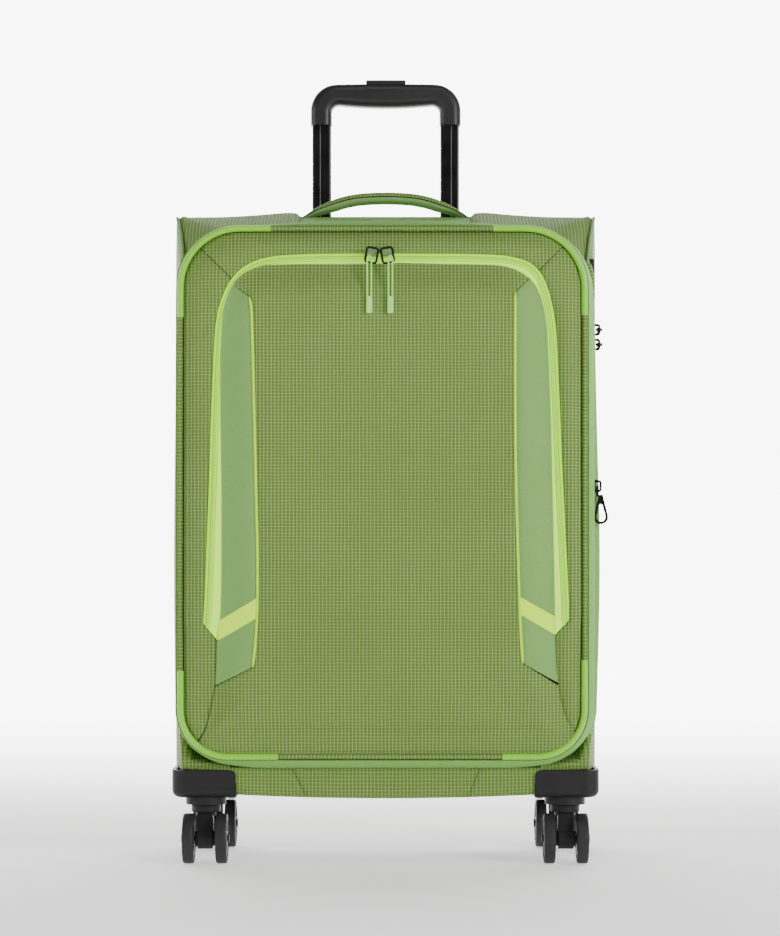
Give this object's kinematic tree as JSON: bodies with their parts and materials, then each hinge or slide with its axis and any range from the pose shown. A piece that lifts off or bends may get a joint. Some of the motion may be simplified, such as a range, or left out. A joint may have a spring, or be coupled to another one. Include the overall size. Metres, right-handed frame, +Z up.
{
  "type": "suitcase",
  "caption": "Upright soft-sided expandable suitcase with padded front pocket, hinged lid, carry handle, telescopic trolley handle and swivelling double casters.",
  "frame": {"origin": "on the floor, at the middle of the case's width and depth", "axes": "+X to the right seen from the front, +Y to the back where the trolley is, +Z up"},
  "size_m": [0.4388, 0.2609, 0.811],
  "materials": {
    "grid_fabric": "woven grid cloth",
    "plain_fabric": "plain woven tape",
    "lining": "thin plain lining",
    "webbing": "woven webbing with a plastic buckle",
    "lime_zipper": "coil zipper on woven tape",
    "pull_cord": "round braided cord",
    "green_rubber": "satin moulding",
    "black_plastic": "fine texture",
    "grip_plastic": "soft satin",
    "wheel_rubber": "matte tyre with a plastic hub",
    "black_anodised": "black anodised",
    "aluminium": "dark anodised",
    "steel": "zinc plated",
    "gunmetal": "dark gunmetal plating",
    "dial_metal": "satin"
  },
  "bodies": {
    "case": {"back_panel": "grid_fabric", "top_panel": "grid_fabric", "bottom_panel": "plain_fabric", "left_side_panel": "grid_fabric", "right_side_panel": "grid_fabric", "wire_frame": "steel", "back_skid_rails": "black_plastic", "trolley_tray": "black_plastic", "carry_handle": "grid_fabric", "trolley_outer_tubes": "aluminium", "trolley_tunnel_lining": "lining", "packing_straps": "webbing", "lock_body": "black_plastic", "caster_housing_front_left": "black_plastic", "caster_housing_front_right": "black_plastic", "caster_housing_rear_left": "black_plastic", "caster_housing_rear_right": "black_plastic", "caster_fixings": "steel"},
    "lid_band": {"lid_band": "plain_fabric"},
    "lid_front": {"expansion_gusset": "plain_fabric", "lid_panel": "grid_fabric", "lid_border": "grid_fabric", "corner_protectors": "green_rubber", "pocket_zipper": "lime_zipper"},
    "pocket_flap": {"pocket_flap": "grid_fabric"},
    "trolley_middle": {"trolley_middle_tubes": "aluminium"},
    "trolley_upper": {"trolley_inner_tubes": "black_anodised", "trolley_grip": "grip_plastic"},
    "trolley_release": {"trolley_button": "grip_plastic", "trolley_release_rods": "steel"},
    "lock_dial_1": {"lock_dial_1": "dial_metal"},
    "lock_dial_2": {"lock_dial_2": "dial_metal"},
    "lock_dial_3": {"lock_dial_3": "dial_metal"},
    "lock_button": {"lock_button": "black_plastic"},
    "main_slider_upper": {"main_slider_upper": "gunmetal"},
    "main_slider_lower": {"main_slider_lower": "gunmetal"},
    "main_pull_upper": {"main_pull_upper": "gunmetal"},
    "main_pull_lower": {"main_pull_lower": "gunmetal"},
    "expansion_slider": {"expansion_slider": "gunmetal"},
    "expansion_pull": {"expansion_pull": "gunmetal"},
    "pocket_slider_left": {"pocket_slider_left": "gunmetal"},
    "pocket_pull_left": {"pocket_link_left": "gunmetal", "pocket_cord_left": "pull_cord", "pocket_tip_left": "green_rubber"},
    "pocket_slider_right": {"pocket_slider_right": "gunmetal"},
    "pocket_pull_right": {"pocket_link_right": "gunmetal", "pocket_cord_right": "pull_cord", "pocket_tip_right": "green_rubber"},
    "caster_front_left": {"caster_fork_front_left": "black_plastic"},
    "wheel_front_left_outer": {"wheel_front_left_outer": "wheel_rubber"},
    "wheel_front_left_inner": {"wheel_front_left_inner": "wheel_rubber"},
    "caster_front_right": {"caster_fork_front_right": "black_plastic"},
    "wheel_front_right_outer": {"wheel_front_right_outer": "wheel_rubber"},
    "wheel_front_right_inner": {"wheel_front_right_inner": "wheel_rubber"},
    "caster_rear_left": {"caster_fork_rear_left": "black_plastic"},
    "wheel_rear_left_outer": {"wheel_rear_left_outer": "wheel_rubber"},
    "wheel_rear_left_inner": {"wheel_rear_left_inner": "wheel_rubber"},
    "caster_rear_right": {"caster_fork_rear_right": "black_plastic"},
    "wheel_rear_right_outer": {"wheel_rear_right_outer": "wheel_rubber"},
    "wheel_rear_right_inner": {"wheel_rear_right_inner": "wheel_rubber"}
  },
  "joints": [
    {"name": "lid_hinge", "type": "hinge", "parent": "case", "child": "lid_band", "pos_m": [-0.21, -0.056, 0.37], "axis": [0, 0, -1], "range_deg": [0, 170]},
    {"name": "expansion", "type": "slide", "parent": "lid_band", "child": "lid_front", "axis": [0, -1, 0], "range_m": [0, 0.04], "deforming": ["expansion_gusset"]},
    {"name": "pocket_flap_hinge", "type": "hinge", "parent": "lid_front", "child": "pocket_flap", "pos_m": [0, -0.1263, 0.226], "axis": [1, 0, 0], "range_deg": [0, 75]},
    {"name": "trolley_lower_stage", "type": "slide", "parent": "case", "child": "trolley_middle", "axis": [0, 0, 1], "range_m": [0, 0.2]},
    {"name": "trolley_upper_stage", "type": "slide", "parent": "trolley_middle", "child": "trolley_upper", "axis": [0, 0, 1], "range_m": [-0.141, 0.06]},
    {"name": "trolley_button_press", "type": "slide", "parent": "trolley_upper", "child": "trolley_release", "axis": [0, 0, -1], "range_m": [0, 0.0035], "stiffness_N_per_m": 1200, "springref_m": -0.0015},
    {"name": "lock_button_press", "type": "slide", "parent": "case", "child": "lock_button", "axis": [-1, 0, 0], "range_m": [0, 0.002], "stiffness_N_per_m": 400, "springref_m": -0.001},
    {"name": "lock_dial_1_turn", "type": "hinge", "parent": "case", "child": "lock_dial_1", "pos_m": [0.208, -0.025, 0.572], "axis": [0, 0, 1], "continuous": true},
    {"name": "lock_dial_2_turn", "type": "hinge", "parent": "case", "child": "lock_dial_2", "pos_m": [0.208, -0.025, 0.58], "axis": [0, 0, 1], "continuous": true},
    {"name": "lock_dial_3_turn", "type": "hinge", "parent": "case", "child": "lock_dial_3", "pos_m": [0.208, -0.025, 0.588], "axis": [0, 0, 1], "continuous": true},
    {"name": "main_slider_upper_slide", "type": "slide", "parent": "case", "child": "main_slider_upper", "axis": [0, 0, 1], "range_m": [0, 0.05]},
    {"name": "main_pull_upper_swing", "type": "hinge", "parent": "main_slider_upper", "child": "main_pull_upper", "pos_m": [0.2152, -0.056, 0.535], "axis": [0, 0, -1], "range_deg": [0, 100]},
    {"name": "main_slider_lower_slide", "type": "slide", "parent": "case", "child": "main_slider_lower", "axis": [0, 0, 1], "range_m": [-0.33, 0]},
    {"name": "main_pull_lower_swing", "type": "hinge", "parent": "main_slider_lower", "child": "main_pull_lower", "pos_m": [0.2152, -0.056, 0.52], "axis": [0, 0, -1], "range_deg": [0, 100]},
    {"name": "expansion_slider_slide", "type": "slide", "parent": "lid_band", "child": "expansion_slider", "axis": [0, 0, 1], "range_m": [-0.2, 0.18]},
    {"name": "expansion_pull_swing", "type": "hinge", "parent": "expansion_slider", "child": "expansion_pull", "pos_m": [0.2122, -0.076, 0.376], "axis": [0, -1, 0], "range_deg": [0, 110]},
    {"name": "pocket_slider_left_slide", "type": "slide", "parent": "lid_front", "child": "pocket_slider_left", "axis": [-1, 0, 0], "range_m": [0, 0.09]},
    {"name": "pocket_pull_left_swing", "type": "hinge", "parent": "pocket_slider_left", "child": "pocket_pull_left", "pos_m": [-0.0156, -0.1184, 0.6056], "axis": [-1, 0, 0], "range_deg": [0, 110]},
    {"name": "pocket_slider_right_slide", "type": "slide", "parent": "lid_front", "child": "pocket_slider_right", "axis": [1, 0, 0], "range_m": [0, 0.09]},
    {"name": "pocket_pull_right_swing", "type": "hinge", "parent": "pocket_slider_right", "child": "pocket_pull_right", "pos_m": [-0.0006, -0.1184, 0.6056], "axis": [-1, 0, 0], "range_deg": [0, 110]},
    {"name": "swivel_front_left", "type": "hinge", "parent": "case", "child": "caster_front_left", "pos_m": [-0.18, -0.068, 0.055], "axis": [0, 0, 1], "continuous": true},
    {"name": "roll_front_left_outer", "type": "hinge", "parent": "caster_front_left", "child": "wheel_front_left_outer", "pos_m": [-0.1965, -0.082, 0.025], "axis": [1, 0, 0], "continuous": true},
    {"name": "roll_front_left_inner", "type": "hinge", "parent": "caster_front_left", "child": "wheel_front_left_inner", "pos_m": [-0.1635, -0.082, 0.025], "axis": [1, 0, 0], "continuous": true},
    {"name": "swivel_front_right", "type": "hinge", "parent": "case", "child": "caster_front_right", "pos_m": [0.18, -0.068, 0.055], "axis": [0, 0, 1], "continuous": true},
    {"name": "roll_front_right_outer", "type": "hinge", "parent": "caster_front_right", "child": "wheel_front_right_outer", "pos_m": [0.1965, -0.082, 0.025], "axis": [1, 0, 0], "continuous": true},
    {"name": "roll_front_right_inner", "type": "hinge", "parent": "caster_front_right", "child": "wheel_front_right_inner", "pos_m": [0.1635, -0.082, 0.025], "axis": [1, 0, 0], "continuous": true},
    {"name": "swivel_rear_left", "type": "hinge", "parent": "case", "child": "caster_rear_left", "pos_m": [-0.18, 0.102, 0.055], "axis": [0, 0, 1], "continuous": true},
    {"name": "roll_rear_left_outer", "type": "hinge", "parent": "caster_rear_left", "child": "wheel_rear_left_outer", "pos_m": [-0.1965, 0.088, 0.025], "axis": [1, 0, 0], "continuous": true},
    {"name": "roll_rear_left_inner", "type": "hinge", "parent": "caster_rear_left", "child": "wheel_rear_left_inner", "pos_m": [-0.1635, 0.088, 0.025], "axis": [1, 0, 0], "continuous": true},
    {"name": "swivel_rear_right", "type": "hinge", "parent": "case", "child": "caster_rear_right", "pos_m": [0.18, 0.102, 0.055], "axis": [0, 0, 1], "continuous": true},
    {"name": "roll_rear_right_outer", "type": "hinge", "parent": "caster_rear_right", "child": "wheel_rear_right_outer", "pos_m": [0.1965, 0.088, 0.025], "axis": [1, 0, 0], "continuous": true},
    {"name": "roll_rear_right_inner", "type": "hinge", "parent": "caster_rear_right", "child": "wheel_rear_right_inner", "pos_m": [0.1635, 0.088, 0.025], "axis": [1, 0, 0], "continuous": true}
  ]
}
